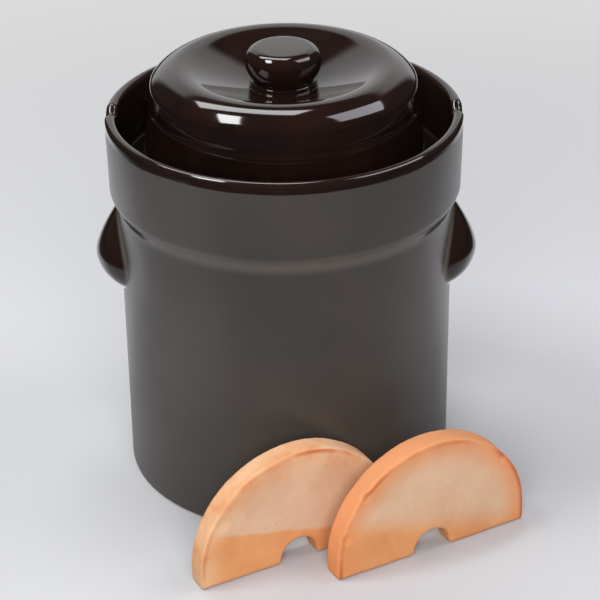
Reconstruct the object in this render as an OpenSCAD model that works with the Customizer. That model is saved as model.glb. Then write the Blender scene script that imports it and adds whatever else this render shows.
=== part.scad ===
// Fermentation crock: a stoneware pot with a water gutter round its mouth, its lid and two weight stones.
// Millimetres, +Z up. The origin is the middle of the flat base, on the axis of the pot.
// The handles lie on the X axis, and the weight stones stand in front of the pot, towards -Y.

/* [Crock body] */
// Outer diameter of the body
body_d = 251; // [220:1:290]
// Height of the body, up to the seam where the gutter collar is luted on
body_h = 229; // [180:1:280]
// Thickness of the body's wall
body_wall = 8.5; // [6:0.5:12]
// Thickness of the base
base_thick = 11; // [8:0.5:16]
// Rounding of the outer bottom edge
foot_round = 3; // [1:0.5:6]
// Rounding of the inner bottom corner
floor_round = 14; // [4:1:24]

/* [Gutter collar] */
// How far the rim stands out from the body, on each side
band_proud = 7; // [4:0.5:12]
// How much narrower the band is at its foot than at the rim, on each side
band_taper = 0.9; // [0:0.1:2]
// Thickness of the outer band
band_wall = 8.5; // [7:0.5:12]
// Rounding of the lip, on both of its edges
lip_round = 3; // [1:0.5:3.4]
// Width of the water gutter, from the band to the neck
gutter_w = 30.5; // [26:0.5:36]
// Depth of the water gutter
gutter_depth = 46; // [36:1:60]
// Thickness of the gutter's floor
gutter_floor = 10; // [7:0.5:14]
// Rounding of the gutter's two bottom corners
gutter_round = 5; // [2:0.5:8]
// Thickness of the neck round the mouth
neck_wall = 8; // [6:0.5:12]
// Height of the neck above the gutter's floor
neck_h = 32; // [20:1:34]
// Rounding of the neck's top edges
neck_round = 2.8; // [1:0.2:2.9]
// Height of the rounded shoulder inside, under the gutter
shoulder_h = 7; // [4:0.5:14]
// Rounding of the lower edge of the mouth, inside
throat_round = 5; // [2:0.5:10]
// Width of each overflow notch in the lip
notch_w = 17; // [8:0.5:26]
// Depth of each overflow notch in the lip
notch_depth = 5.5; // [2:0.5:8]

/* [Handles] */
// Width of a handle along the body
handle_w = 83; // [60:1:100]
// Height of a handle above its widest line
handle_up = 39; // [26:1:60]
// Height of a handle below its widest line
handle_down = 26; // [22:1:36]
// How far a handle stands out from the body
handle_proud = 18.5; // [14:0.5:22]
// Rounding of a handle's outermost line, above which its face slopes straight up to the wall
handle_nose = 9; // [5:0.5:13]
// Distance from the seam down to the top of a handle
handle_drop = 8; // [8:1:40]
// Radius of the finger scoop under a handle
scoop_r = 8; // [5:0.5:9]
// Length of the finger scoop, end to end
scoop_l = 44; // [24:1:54]
// Distance from the body out to the scoop's axis
scoop_out = 4; // [1:0.5:6]
// Height of the scoop's axis above the lowest point of the handle
scoop_up = 2; // [0:0.5:5]

/* [Lid] */
// Thickness of the lid
lid_wall = 6.5; // [5:0.5:8]
// Gap between the neck and the lower edge of the skirt
lid_gap = 6.5; // [5.5:0.5:9]
// How far the skirt spreads from its step to its lower edge, on each side
skirt_flare = 5.8; // [0:0.2:7]
// Height of the step above the rim
step_rise = 3.8; // [1:0.2:10]
// Width of the step, where the crown sits back from the skirt
step_w = 0.9; // [0.5:0.1:2.5]
// Height of the crown, from the step to its crest
crown_h = 29.1; // [27:0.1:44]
// How much the crown's wall leans in, from the step to the shoulder
crown_draft = 1.6; // [0:0.1:3]
// Rounding of the crown's shoulder, at the top of its wall
shoulder_round = 11.5; // [8:0.5:14]
// Angle that the shoulder turns through before the wider crest takes over, in degrees
shoulder_turn = 67; // [55:1:75]
// Rounding of the crest, between the shoulder and the dish
crest_round = 32; // [24:1:38]
// Depth of the dish in the crown, from the crest to its floor
dish_depth = 14; // [11:0.5:17]
// Slope of the dish's side, in degrees
dish_slope = 28; // [25:1:32]
// Rounding between the dish's side and its floor
dish_round = 16; // [8:1:24]
// Rounding of the skirt's lower edges
skirt_round = 2; // [0.5:0.5:2.4]
// Radius of the two gas notches in the skirt's lower edge
gas_notch_r = 6; // [3:0.5:10]
// Clearance between the lid's lower edge and the gutter's floor
seat_gap = 0.3; // [0.1:0.1:1]

/* [Knob] */
// Greatest diameter of the knob
knob_d = 55.5; // [48:0.5:64]
// Height of the knob above the dish
knob_h = 30; // [28:0.2:40]
// Diameter of the waist, above the collar
waist_d = 44; // [34:0.5:45]
// Diameter of the collar at the knob's foot
collar_d = 49; // [46:0.5:58]
// Height of the collar
collar_h = 4.2; // [3:0.2:6]
// Height at which the knob is widest
belly_z = 21.8; // [17:0.2:23]
// Rounding of the knob's top edge
knob_edge = 4; // [1:0.5:6]
// Slope at which the domed top meets the rounded edge, in degrees
dome_slope = 6; // [2:1:12]

/* [Weight stones] */
// Length of a stone's straight edge
stone_l = 161; // [120:1:170]
// Height of a stone, from its straight edge to the top of its arc
stone_h = 93; // [86:1:110]
// Thickness of a stone
stone_t = 18; // [12:0.5:26]
// Rounding of a stone's arc, on both of its edges
stone_round = 3.5; // [1:0.5:5]
// Width of the notch in the straight edge
finger_w = 35; // [24:0.5:41]
// Height of the notch
finger_h = 21; // [18:0.5:28]
// Turn of the standing stones about +Z, in degrees
stone_yaw = 28.5; // [0:0.5:45]
// Clearance from the body to the back of the left stone
stone_clear = 1.5; // [1:0.5:20]
// Gap between the front of the left stone and the back of the right one
stone_apart = 21; // [15:0.5:40]
// Place of the left stone's middle along its straight edge, from the line through the axis
left_stone_along = -70; // [-90:1:-20]
// Place of the right stone's middle along its straight edge, from the line through the axis
right_stone_along = 21; // [-20:1:60]

/* [Hidden] */
$fn = 96;

// Overlap of a cutting shape past the surface that it cuts
cut = 1;
// Segments in a rounded stretch of a profile
steps = 8;

// Glaze and clay colours
glaze_satin = [0.27, 0.255, 0.245];
glaze_gloss = [0.12, 0.075, 0.06];
clay = [0.87, 0.63, 0.44];

// Body
body_r = body_d / 2;
inner_r = body_r - body_wall;
seam_z = body_h;

// Collar: an S-curve of two equal arcs, each turning 45 degrees, leads from the body out to the band
rim_r = body_r + band_proud;
band_foot_r = rim_r - band_taper;
ogee_turn = 45;
ogee_r = (band_foot_r - body_r) / 2 / (1 - cos(ogee_turn));
ogee_h = ogee_r * sin(ogee_turn);
gutter_r = rim_r - band_wall;
neck_r = gutter_r - gutter_w;
mouth_r = neck_r - neck_wall;
under_z = seam_z + shoulder_h;
gutter_z = under_z + gutter_floor;
rim_z = gutter_z + gutter_depth;
neck_z = gutter_z + neck_h;
notch_r = (notch_w * notch_w / 4 + notch_depth * notch_depth) / 2 / notch_depth;

// Handles: each is the part of a thick turned disc that stands outside the body's wall
handle_z = seam_z - handle_drop - handle_up;
handle_foot_z = handle_z - handle_down;
handle_reach = body_r + handle_proud - sqrt(body_r * body_r - handle_w * handle_w / 4);
lug_r = (handle_reach * handle_reach + handle_w * handle_w / 4) / 2 / handle_reach;
nose_in = handle_proud - handle_nose;
nose_turn = atan2(handle_up, -nose_in) - acos(handle_nose / norm([nose_in, handle_up]));
lower_arc_r = (handle_proud * handle_proud + handle_down * handle_down) / 2 / handle_proud;
lug_x = body_r + handle_proud - lug_r;

// Lid
lid_z = gutter_z + seat_gap;
skirt_r = neck_r + lid_gap + lid_wall;
step_z = rim_z + step_rise;
step_r = skirt_r - skirt_flare;
crown_foot_r = step_r - step_w;
crown_r = crown_foot_r - crown_draft;
crest_z = step_z + crown_h;
crest_in = crest_round - shoulder_round;
crest_at = [crown_r - shoulder_round - crest_in * cos(shoulder_turn), crest_z - crest_round];
shoulder_at = crest_at + crest_in * [cos(shoulder_turn), sin(shoulder_turn)];
shoulder_inner = max(shoulder_round - lid_wall, cut);
dish_z = crest_z - dish_depth;
side_drop = dish_depth - (crest_round + dish_round) * (1 - cos(dish_slope));
dish_r = crest_at.x - (crest_round + dish_round) * sin(dish_slope) - side_drop / tan(dish_slope);
dish_at = [dish_r, dish_z + dish_round];

// Knob
knob_r = knob_d / 2;
bowl_in = knob_r - waist_d / 2;
bowl_rise = belly_z - collar_h;
bowl_r = (bowl_in * bowl_in + bowl_rise * bowl_rise) / 2 / bowl_in;
bowl_turn = asin(bowl_rise / bowl_r);
edge_x = knob_r - knob_edge;
dome_r = (edge_x + knob_edge * sin(dome_slope)) / sin(dome_slope);
edge_z = knob_h - dome_r + (dome_r - knob_edge) * cos(dome_slope);

// Weight stones
stone_r = stone_l / 2;
stone_side = stone_h - stone_r;
left_stone_out = body_r + stone_clear;
right_stone_out = left_stone_out + stone_t + stone_apart;

// Points along an arc in a profile, from angle a0 to angle a1
function arc(c, r, a0, a1, n = steps) =
    [for (i = [0:n]) c + r * [cos(a0 + (a1 - a0) * i / n), sin(a0 + (a1 - a0) * i / n)]];

// The same points without the first one, which the arc before it has already given
function next_arc(c, r, a0, a1) =
    [for (i = [1:steps]) arc(c, r, a0, a1)[i]];

// Straight-sided cup, whose top flares into the first half of the S-curve
module crock_body() {
    color(glaze_satin)
        rotate_extrude()
            polygon(concat(
                [[0, 0]],
                arc([body_r - foot_round, foot_round], foot_round, -90, 0),
                arc([body_r + ogee_r, seam_z - ogee_h], ogee_r, 180, 180 - ogee_turn),
                [[inner_r, seam_z]],
                arc([inner_r - floor_round, base_thick + floor_round], floor_round, 0, -90),
                [[0, base_thick]]
            ));
}

// One ring with the outer band, the gutter's floor and the neck, cut by the two overflow notches
module gutter_collar() {
    color(glaze_satin)
        difference() {
            rotate_extrude()
                polygon(concat(
                    arc([band_foot_r - ogee_r, seam_z + ogee_h], ogee_r, -ogee_turn, 0),
                    arc([rim_r - lip_round, rim_z - lip_round], lip_round, 0, 90),
                    arc([gutter_r + lip_round, rim_z - lip_round], lip_round, 90, 180),
                    arc([gutter_r - gutter_round, gutter_z + gutter_round], gutter_round, 0, -90),
                    arc([neck_r + gutter_round, gutter_z + gutter_round], gutter_round, 270, 180),
                    arc([neck_r - neck_round, neck_z - neck_round], neck_round, 0, 90),
                    arc([mouth_r + neck_round, neck_z - neck_round], neck_round, 90, 180),
                    arc([mouth_r + throat_round, under_z + throat_round], throat_round, 180, 270),
                    arc([inner_r - shoulder_h, seam_z], shoulder_h, 90, 0)
                ));
            for (side = [-1, 1])
                translate([side * (rim_r - band_wall / 2), 0, rim_z - notch_depth + notch_r])
                    rotate([0, 90, 0])
                        cylinder(r = notch_r, h = band_wall + 2 * cut, center = true);
        }
}

// Pocket with round ends that the fingers reach under a handle
module finger_scoop() {
    straight = scoop_l - 2 * scoop_r;
    translate([body_r + scoop_out, 0, handle_foot_z + scoop_up]) {
        rotate([90, 0, 0])
            cylinder(r = scoop_r, h = straight, center = true);
        for (side = [-1, 1])
            translate([0, side * straight / 2, 0])
                sphere(r = scoop_r);
    }
}

// Lug handle on the +X side, seated on the body's wall
module handle() {
    color(glaze_gloss)
        difference() {
            translate([lug_x, 0, handle_z])
                rotate_extrude()
                    polygon(concat(
                        [[0, -handle_down]],
                        arc([lug_r - lower_arc_r, 0], lower_arc_r, -asin(handle_down / lower_arc_r), 0),
                        arc([lug_r - handle_nose, 0], handle_nose, 0, nose_turn),
                        [[lug_r - handle_proud, handle_up], [0, handle_up]]
                    ));
            translate([0, 0, handle_foot_z - cut])
                cylinder(r = body_r, h = handle_down + handle_up + 2 * cut);
            finger_scoop();
        }
}

module right_handle() {
    handle();
}

module left_handle() {
    mirror([1, 0, 0])
        handle();
}

// Hollow lid: a skirt that stands in the gutter, a step, a crown with a round shoulder and a dished top
module lid() {
    color(glaze_gloss)
        difference() {
            rotate_extrude()
                polygon(concat(
                    arc([skirt_r - skirt_round, lid_z + skirt_round], skirt_round, -90, 0),
                    arc([step_r - step_w, step_z - step_w], step_w, 0, 90),
                    arc(shoulder_at, shoulder_round, 0, shoulder_turn),
                    next_arc(crest_at, crest_round, shoulder_turn, 90 + dish_slope),
                    arc(dish_at, dish_round, 270 + dish_slope, 270),
                    [[0, dish_z], [0, dish_z - lid_wall]],
                    arc(dish_at, dish_round + lid_wall, 270, 270 + dish_slope),
                    arc(crest_at, crest_in + shoulder_inner, 90 + dish_slope, shoulder_turn),
                    next_arc(shoulder_at, shoulder_inner, shoulder_turn, 0),
                    [[crown_foot_r - lid_wall, step_z], [step_r - lid_wall, step_z - lid_wall]],
                    arc([skirt_r - lid_wall + skirt_round, lid_z + skirt_round], skirt_round, 180, 270)
                ));
            translate([0, 0, lid_z])
                rotate([0, 90, 0])
                    cylinder(r = gas_notch_r, h = 2 * (skirt_r + cut), center = true);
        }
}

// Bowl-shaped knob on a beaded collar, seated on the floor of the lid's dish
module lid_knob() {
    color(glaze_gloss)
        translate([0, 0, dish_z])
            rotate_extrude()
                polygon(concat(
                    [[0, 0]],
                    arc([collar_d / 2 - collar_h / 2, collar_h / 2], collar_h / 2, -90, 90),
                    arc([knob_r - bowl_r, belly_z], bowl_r, -bowl_turn, 0, 2 * steps),
                    arc([edge_x, edge_z], knob_edge, 0, 90 - dome_slope),
                    arc([0, knob_h - dome_r], dome_r, 90 - dome_slope, 90)
                ));
}

// Cross-section of a stone's rim: half of it in the disc's profile, all of it under the straight sides
module stone_section() {
    translate([0, -stone_t / 2])
        polygon(concat(
            [[0, 0]],
            arc([stone_r - stone_round, stone_round], stone_round, -90, 0),
            arc([stone_r - stone_round, stone_t - stone_round], stone_round, 0, 90),
            [[0, stone_t]]
        ));
}

// Half-moon stone that stands on its straight edge, with its back face on the plane Y = 0
module weight_stone() {
    color(clay)
        translate([0, -stone_t / 2, 0])
            difference() {
                union() {
                    translate([0, 0, stone_side])
                        rotate([90, 0, 0])
                            rotate_extrude(angle = 180)
                                stone_section();
                    linear_extrude(stone_side) {
                        stone_section();
                        mirror([1, 0])
                            stone_section();
                    }
                }
                translate([0, 0, finger_h - finger_w / 2])
                    rotate([90, 0, 0])
                        cylinder(d = finger_w, h = stone_t + 2 * cut, center = true);
                translate([0, 0, (finger_h - finger_w / 2 - cut) / 2])
                    cube([finger_w, stone_t + 2 * cut, finger_h - finger_w / 2 + cut], center = true);
            }
}

// Stands a stone beside the pot: its back lies square to the line at stone_yaw, at distance out from the axis
module stand_stone(along, out) {
    rotate([0, 0, stone_yaw])
        translate([along, -out, 0])
            weight_stone();
}

module left_weight_stone() {
    stand_stone(left_stone_along, left_stone_out);
}

module right_weight_stone() {
    stand_stone(right_stone_along, right_stone_out);
}

crock_body();
gutter_collar();
left_handle();
right_handle();
lid();
lid_knob();
left_weight_stone();
right_weight_stone();
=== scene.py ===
# %% [markdown]
# # A fermentation crock
# The pot on the table is stoneware: a straight cup with a water gutter round its mouth, two lug handles,
# a lid that stands in the gutter, and two half-moon stones of bare clay that hold the food under its brine.
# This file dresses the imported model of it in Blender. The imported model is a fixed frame, in metres, and
# every piece below takes the place of one or two plain solids in it. Named sizes are in millimetres, unless
# the text above them says otherwise.

# %% The frame
import math
import bmesh
import bpy
from mathutils import Matrix, Vector, noise


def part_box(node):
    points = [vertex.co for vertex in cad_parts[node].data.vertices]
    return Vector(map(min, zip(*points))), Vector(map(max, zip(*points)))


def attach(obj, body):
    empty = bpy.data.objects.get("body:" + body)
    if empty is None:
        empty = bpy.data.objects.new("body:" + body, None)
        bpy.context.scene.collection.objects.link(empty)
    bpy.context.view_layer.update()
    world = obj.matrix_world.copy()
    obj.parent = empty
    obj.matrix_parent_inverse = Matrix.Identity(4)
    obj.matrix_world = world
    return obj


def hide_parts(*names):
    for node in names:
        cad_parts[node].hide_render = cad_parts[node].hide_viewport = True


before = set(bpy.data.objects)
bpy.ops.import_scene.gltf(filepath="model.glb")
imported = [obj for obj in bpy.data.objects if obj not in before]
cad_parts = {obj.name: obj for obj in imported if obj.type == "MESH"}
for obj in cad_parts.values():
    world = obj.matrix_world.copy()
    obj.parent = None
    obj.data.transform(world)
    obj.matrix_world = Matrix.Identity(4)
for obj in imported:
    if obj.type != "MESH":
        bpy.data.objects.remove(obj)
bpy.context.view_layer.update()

MM = 0.001

# %% [markdown]
# ## A pen for turned profiles
# Almost everything on this pot was thrown or pressed round an axis, so it is drawn as half a section and
# spun. A real potter's template is straight runs and round corners, and the pen draws just those. A
# straight run is a vertex extruded and moved, and a corner is that vertex spun about the corner's centre.
# A bend is a corner that carries on in the way the pen was going, so it needs only a radius and a turn.
# One could also type in a list of points, but then no line would say which radius it came from.

# %% The pen
class ProfilePen:
    """Draws half a section in the XZ plane, in millimetres, as a chain of edges."""

    def __init__(self, r, z):
        self.bm = bmesh.new()
        self.tip = self.bm.verts.new((r * MM, 0.0, z * MM))
        self.heading = 0.0

    def place(self):
        return self.tip.co.x / MM, self.tip.co.z / MM

    def face(self, degrees):
        """Sets the way the pen is going: 0 is outwards and 90 is up."""
        self.heading = degrees
        return self

    def line(self, r, z, steps=1):
        way = (Vector((r * MM, 0.0, z * MM)) - self.tip.co) / steps
        for _ in range(steps):
            out = bmesh.ops.extrude_vert_indiv(self.bm, verts=[self.tip])
            self.tip = out["verts"][0]
            bmesh.ops.translate(self.bm, verts=[self.tip], vec=way)
        return self.face(math.degrees(math.atan2(way.z, way.x)))

    def arc(self, r, z, degrees, steps=8):
        """Turns about the centre (r, z); positive degrees go from +X towards +Z."""
        centre = Vector((r * MM, 0.0, z * MM))
        out = bmesh.ops.spin(
            self.bm, geom=[self.tip], cent=centre, axis=(0.0, -1.0, 0.0),
            angle=math.radians(degrees), steps=steps)
        self.tip = [v for v in out["geom_last"] if isinstance(v, bmesh.types.BMVert)][0]
        spoke = self.tip.co - centre
        return self.face(math.degrees(math.atan2(spoke.z, spoke.x)) + math.copysign(90, degrees))

    def bend(self, radius, degrees, steps=8):
        """Turns on from the way the pen is going; positive degrees go to its left."""
        side = math.copysign(radius, degrees)
        way = math.radians(self.heading)
        r, z = self.place()
        return self.arc(r - side * math.sin(way), z + side * math.cos(way), degrees, steps)


print("a pen for lines, arcs and bends; one of its units is", MM, "m")

# %% [markdown]
# The spin goes round in four sectors, because the lip and the lid's lower edge have notches at the left
# and right that need closer columns than the rest. Each sector carries on from the last ring of the one
# before. The seam and the poles are then merged, and the normals recalculated on the closed shell.

# %% Spinning a profile
NOTCH_SECTOR = 14.0
WELD = 0.002

def spin_profile(pen, close=24, wide=84):
    bm = pen.bm
    back = Matrix.Rotation(math.radians(-NOTCH_SECTOR / 2), 3, "Z")
    bmesh.ops.rotate(bm, verts=bm.verts[:], cent=(0, 0, 0), matrix=back)
    ring = bm.verts[:] + bm.edges[:]
    for degrees, steps in ((NOTCH_SECTOR, close), (180 - NOTCH_SECTOR, wide)) * 2:
        out = bmesh.ops.spin(
            bm, geom=ring, cent=(0, 0, 0), axis=(0, 0, 1),
            angle=math.radians(degrees), steps=steps, use_merge=False)
        ring = out["geom_last"]
    bmesh.ops.remove_doubles(bm, verts=bm.verts[:], dist=WELD * MM)
    bmesh.ops.recalc_face_normals(bm, faces=bm.faces[:])
    return bm


print("close columns over", NOTCH_SECTOR, "degrees at each side")

# %% [markdown]
# Thumbs and fingers press soft clay without hard edges. A soft step rises from 0 to 1 with a level start
# and end, as Blender's own smoothstep does, and a dip is two of them back to back.

# %% Soft steps and dips
DIP_LEVEL = 0.25

def smooth_step(a, b, x):
    """0 at a, 1 at b, soft between; a may be the larger of the two."""
    t = min(1.0, max(0.0, (x - a) / (b - a)))
    return t * t * (3 - 2 * t)


def dip_at(y, half_width, depth):
    """A soft round dip, deepest over a level share of its width round y = 0."""
    return depth * (1 - smooth_step(DIP_LEVEL * half_width, half_width, abs(y)))


print("a quarter of the way along, a soft step stands at", smooth_step(0, 1, 0.25))

# %% [markdown]
# ## Finishing a piece
# Each piece becomes an object at the origin with its place in its mesh. It rides on a body of the frame,
# stands for the plain nodes that it covers, which are hidden, and wears its one material.

# %% From bmesh to piece
def make_piece(bm, name, material, body, nodes):
    mesh = bpy.data.meshes.new(name)
    for face in bm.faces:
        face.smooth = True
    bm.to_mesh(mesh)
    bm.free()
    piece = bpy.data.objects.new(name, mesh)
    bpy.context.scene.collection.objects.link(piece)
    mesh.materials.append(material)
    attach(piece, body)
    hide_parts(*nodes)
    print(name, "has", len(mesh.polygons), "faces")


# %% [markdown]
# ## Node helpers
# A material here is a small network of nodes. These helpers keep each network readable: one turns a colour
# as a screen shows it into Blender's own, and one adds a node and feeds its sockets, with a link where the
# value comes from another node and a plain number where it doesn't.

# %% Colours and nodes
def srgb(r, g, b):
    """A colour as seen on a screen, 0 to 255, as Blender's linear colour."""
    lin = [c / 255 / 12.92 if c <= 10 else ((c / 255 + 0.055) / 1.055) ** 2.4 for c in (r, g, b)]
    return (*lin, 1.0)


def add(tree, kind, inputs=None, **settings):
    node = tree.nodes.new(kind)
    for key, value in settings.items():
        setattr(node, key, value)
    for key, value in (inputs or {}).items():
        if isinstance(value, bpy.types.NodeSocket):
            tree.links.new(value, node.inputs[key])
        else:
            node.inputs[key].default_value = value
    return node


def new_material(name):
    material = bpy.data.materials.new(name)
    material.use_nodes = True
    tree = material.node_tree
    return material, tree, tree.nodes["Principled BSDF"]


print("mid grey on a screen is", round(srgb(128, 128, 128)[0], 3), "to Blender")

# %% [markdown]
# The rest do arithmetic, make a soft mask between two limits, blend two colours or two values, and give a
# noise that is fixed to the piece. Each returns the socket that the next one takes.

# %% Arithmetic, masks and blends
def maths(tree, operation, a, b=0.0, c=0.0):
    return add(tree, "ShaderNodeMath", {0: a, 1: b, 2: c}, operation=operation).outputs[0]


def times(tree, a, b):
    return maths(tree, "MULTIPLY", a, b)


def mask(tree, value, low, high):
    """0 below low, 1 above high, soft between; low may be the larger of the two."""
    node = add(tree, "ShaderNodeMapRange", {"Value": value, "From Min": low, "From Max": high},
               interpolation_type="SMOOTHSTEP")
    return node.outputs["Result"]


def mask_mm(tree, value, low, high):
    """The same for a length, with its limits in millimetres."""
    return mask(tree, value, low * MM, high * MM)


def blend_colours(tree, factor, a, b):
    return add(tree, "ShaderNodeMix", {0: factor, 6: a, 7: b}, data_type="RGBA").outputs[2]


def blend_values(tree, factor, a, b):
    return add(tree, "ShaderNodeMix", {0: factor, 2: a, 3: b}).outputs[0]


def noise_value(tree, vector, scale, detail):
    inputs = {"Vector": vector, "Scale": scale, "Detail": detail}
    return add(tree, "ShaderNodeTexNoise", inputs).outputs["Fac"]


print("node helpers: maths, times, masks, blends and noise")

# %% [markdown]
# ## Shared effects
# Fired glaze and fired clay have two things in common. Their colour drifts in clouds a few centimetres
# across, where the kiln was hotter or the coat thicker, and iron in the clay bleeds through as specks.
# Each effect is a node group, built once and placed in every material with that material's own sizes.

# %% Cloudy drift
VECTOR, VALUE = "NodeSocketVector", "NodeSocketFloat"
CLOUD_NOISE = {"Detail": 5.0, "Roughness": 0.55, "Distortion": 0.4}
CLOUD_CONTRAST = (0.3, 0.7)

def new_group(name, inputs, output):
    group = bpy.data.node_groups.new(name, "ShaderNodeTree")
    for title, kind in inputs.items():
        group.interface.new_socket(title, in_out="INPUT", socket_type=kind)
    group.interface.new_socket(output, in_out="OUTPUT", socket_type=VALUE)
    return group, group.nodes.new("NodeGroupInput").outputs, group.nodes.new("NodeGroupOutput").inputs


def build_cloud_group():
    group, given, result = new_group("kiln clouds", {"Vector": VECTOR, "Scale": VALUE}, "Clouds")
    drift = add(group, "ShaderNodeTexNoise",
                {"Vector": given["Vector"], "Scale": given["Scale"], **CLOUD_NOISE})
    group.links.new(mask(group, drift.outputs["Fac"], *CLOUD_CONTRAST), result["Clouds"])
    return group


CLOUDS = build_cloud_group()
print("shared effect:", CLOUDS.name)

# %% [markdown]
# A speck is a single grain of iron in the clay that melts through the coat, so specks are round, small
# and far apart. A Voronoi texture gives each of its cells a random colour and a distance to the cell's
# middle. Only the cells whose colour is under a limit get a speck, which keeps them rare without making
# them large.

# %% Iron specks
SPECK_EDGE = (0.3, 0.1)

def build_speck_group():
    sockets = {"Vector": VECTOR, "Scale": VALUE, "Amount": VALUE}
    group, given, result = new_group("iron specks", sockets, "Specks")
    cells = add(group, "ShaderNodeTexVoronoi", {"Vector": given["Vector"], "Scale": given["Scale"]})
    near = mask(group, cells.outputs["Distance"], *SPECK_EDGE)
    chosen = add(group, "ShaderNodeSeparateColor", {0: cells.outputs["Color"]}).outputs[0]
    few = maths(group, "LESS_THAN", chosen, given["Amount"])
    group.links.new(times(group, near, few), result["Specks"])
    return group


SPECKS = build_speck_group()

def clouds(tree, vector, scale):
    inputs = {"Vector": vector, "Scale": scale}
    return add(tree, "ShaderNodeGroup", inputs, node_tree=CLOUDS).outputs[0]


def specks(tree, vector, scale, amount):
    inputs = {"Vector": vector, "Scale": scale, "Amount": amount}
    return add(tree, "ShaderNodeGroup", inputs, node_tree=SPECKS).outputs[0]


print("shared effect:", SPECKS.name)

# %% [markdown]
# ## The pot
# Cup and gutter collar were luted together and fired as one, so the eye sees one unbroken skin: up the
# wall, out through a soft S-curve to the band, over the lip, down into the gutter, over the neck and down
# inside. It is drawn as a single section from the middle of the base to the middle of the floor, and spun
# once. The rim's height is the frame's own, and the glaze further down uses the same names as the section.

# %% The pot's outside
BODY_R = 125.5
FOOT_HOLLOW, FOOT_RING_IN, FOOT_RING_OUT, FOOT_ROUND = 1.2, 110.0, 113.0, 3.0
COVE_Z, COVE_R, COVE_TURN = 218.0, 18.0, 38.0
BAND_ROUND = 10.75
RIM_R, LIP_R = 132.5, 4.25
RIM_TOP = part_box("gutter_collar")[1].z / MM

def draw_outside(pen):
    pen.line(FOOT_RING_IN, FOOT_HOLLOW, 6).line(FOOT_RING_OUT, 0).line(BODY_R - FOOT_ROUND, 0, 2)
    pen.arc(BODY_R - FOOT_ROUND, FOOT_ROUND, 90, 6).line(BODY_R, COVE_Z, 24)
    pen.bend(COVE_R, -COVE_TURN, 10).bend(BAND_ROUND, COVE_TURN, 8)
    pen.line(RIM_R, RIM_TOP - LIP_R, 10).arc(RIM_R - LIP_R, RIM_TOP - LIP_R, 180, 18)


pot_pen = ProfilePen(0, FOOT_HOLLOW)
draw_outside(pot_pen)
print("the lip's inner edge is at", [round(c, 2) for c in pot_pen.place()])

# %% [markdown]
# Inside the lip the wall drops to the gutter, where water seals the lid's skirt, and climbs again to the
# neck round the mouth. A potter shapes this channel with a finger or a rib while it turns, so its corners
# are round. The pen goes on from the lip's inner edge, and each corner is an arc about its own centre.

# %% The gutter and the neck
GUTTER_R = RIM_R - 2 * LIP_R
GUTTER_Z, GUTTER_ROUND = 246.0, 5.0
NECK_R, NECK_TOP, NECK_ROUND = 93.5, 278.0, 2.8
MOUTH_R = 85.5

def draw_gutter(pen):
    corner_z, top_z = GUTTER_Z + GUTTER_ROUND, NECK_TOP - NECK_ROUND
    pen.line(GUTTER_R, corner_z, 8).arc(GUTTER_R - GUTTER_ROUND, corner_z, -90, 8)
    pen.line(NECK_R + GUTTER_ROUND, GUTTER_Z, 4).arc(NECK_R + GUTTER_ROUND, corner_z, -90, 8)
    pen.line(NECK_R, top_z, 4).arc(NECK_R - NECK_ROUND, top_z, 90, 6)
    pen.line(MOUTH_R + NECK_ROUND, NECK_TOP).arc(MOUTH_R + NECK_ROUND, top_z, 90, 6)


draw_gutter(pot_pen)
print("the mouth's edge is at", [round(c, 2) for c in pot_pen.place()])

# %% [markdown]
# The photograph doesn't show the inside, so it is a guess at what such a pot needs: a wall of 8.5 mm, and
# a wide round where it meets the floor, which is easy to throw and to wash. Drawing it in the same
# section closes the shell, and on a closed shell Blender can tell the outside from the inside.

# %% The inside
INNER_R = 117.0
ROOF_Z, THROAT_ROUND, ROOF_ROUND = 236.0, 5.0, 7.0
FLOOR_Z, FLOOR_ROUND = 11.0, 14.0

def draw_inside(pen):
    pen.line(MOUTH_R, ROOF_Z + THROAT_ROUND, 4)
    pen.arc(MOUTH_R + THROAT_ROUND, ROOF_Z + THROAT_ROUND, 90, 6)
    pen.line(INNER_R - ROOF_ROUND, ROOF_Z, 3).arc(INNER_R - ROOF_ROUND, ROOF_Z - ROOF_ROUND, -90, 8)
    pen.line(INNER_R, FLOOR_Z + FLOOR_ROUND, 12)
    pen.arc(INNER_R - FLOOR_ROUND, FLOOR_Z + FLOOR_ROUND, -90, 8).line(0, FLOOR_Z, 8)


draw_inside(pot_pen)
print("the pot's section has", len(pot_pen.bm.edges), "edges")

# %% [markdown]
# ## Satin glaze, and the glossy brown that breaks from it
# The outside of the pot wears a matt grey-brown slip glaze. The lip, the gutter and the whole inside were
# dipped in a glossy dark brown, which ends in a line just under the lip. Both coats are one material, and
# a mask of radius and height says which of them shows, so the dip line can waver as a real one does.

# %% Where the satin shows
BAND_FACE = (GUTTER_R + 0.3, GUTTER_R + 1.2)
WALL_FACE = (INNER_R + 1.5, INNER_R + 3.5)
WALL_TOP = (GUTTER_Z - 3.5, GUTTER_Z - 5.5)
DIP_Z, DIP_SOFT = RIM_TOP - 6.0, 0.5
WAVER = 4.0

def radius_and_height(tree):
    at = add(tree, "ShaderNodeTexCoord").outputs["Object"]
    flat = add(tree, "ShaderNodeVectorMath", {0: at, 1: (1.0, 1.0, 0.0)}, operation="MULTIPLY").outputs[0]
    radius = add(tree, "ShaderNodeVectorMath", {0: flat}, operation="LENGTH").outputs["Value"]
    height = add(tree, "ShaderNodeSeparateXYZ", {0: at}).outputs[2]
    return at, radius, height


def satin_mask(tree, radius, height, wavering):
    wall = times(tree, mask_mm(tree, radius, *WALL_FACE), mask_mm(tree, height, *WALL_TOP))
    outside = maths(tree, "MAXIMUM", mask_mm(tree, radius, *BAND_FACE), wall)
    return times(tree, outside, mask_mm(tree, wavering, DIP_Z + DIP_SOFT, DIP_Z - DIP_SOFT))


print("the gloss ends between", round(DIP_Z - WAVER, 1), "and", round(DIP_Z, 1), "mm up")
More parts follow.
